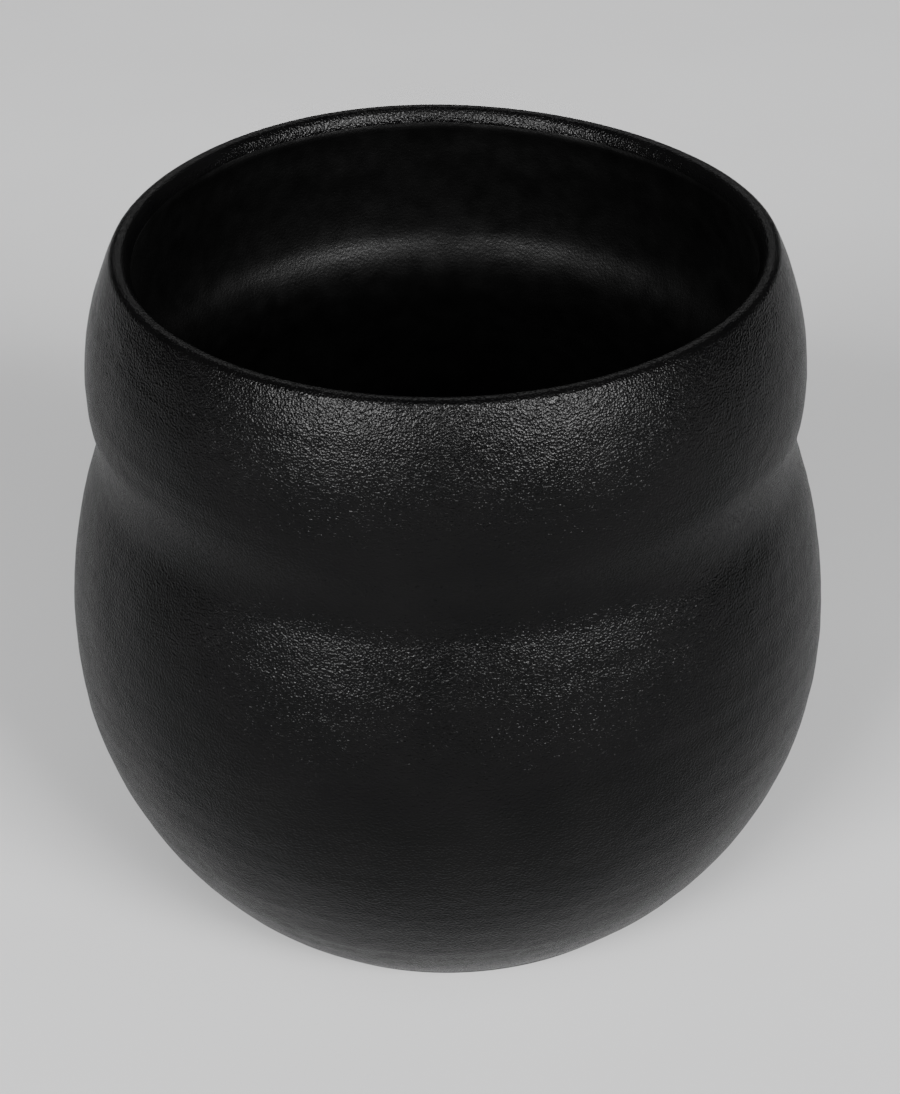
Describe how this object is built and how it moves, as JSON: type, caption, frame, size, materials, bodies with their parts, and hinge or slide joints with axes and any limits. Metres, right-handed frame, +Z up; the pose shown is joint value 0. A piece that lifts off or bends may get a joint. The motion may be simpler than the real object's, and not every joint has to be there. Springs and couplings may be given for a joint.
{
  "type": "candle jar",
  "caption": "Empty handleless stoneware candle jar with a round double-bulge wall, a pinched waist, a wide rounded lip and a narrow foot; matte black outside, smooth black inside.",
  "frame": {"origin": "centre of the foot ring, on the plane the jar stands on", "axes": "+Z up along the jar's turning axis; the jar is round, so +X and +Y are free choices"},
  "size_m": [0.096, 0.096, 0.088],
  "materials": {
    "bare_stoneware": "bare fired clay, seen only on the foot ring and under the foot",
    "textured_black_glaze": "matte to satin black with a fine pebbled crinkle and faint turning lines",
    "smooth_black_glaze": "smooth satin black"
  },
  "bodies": {
    "root": {"clay_body": "bare_stoneware", "outer_glaze": "textured_black_glaze", "inner_glaze": "smooth_black_glaze"}
  },
  "joints": []
}
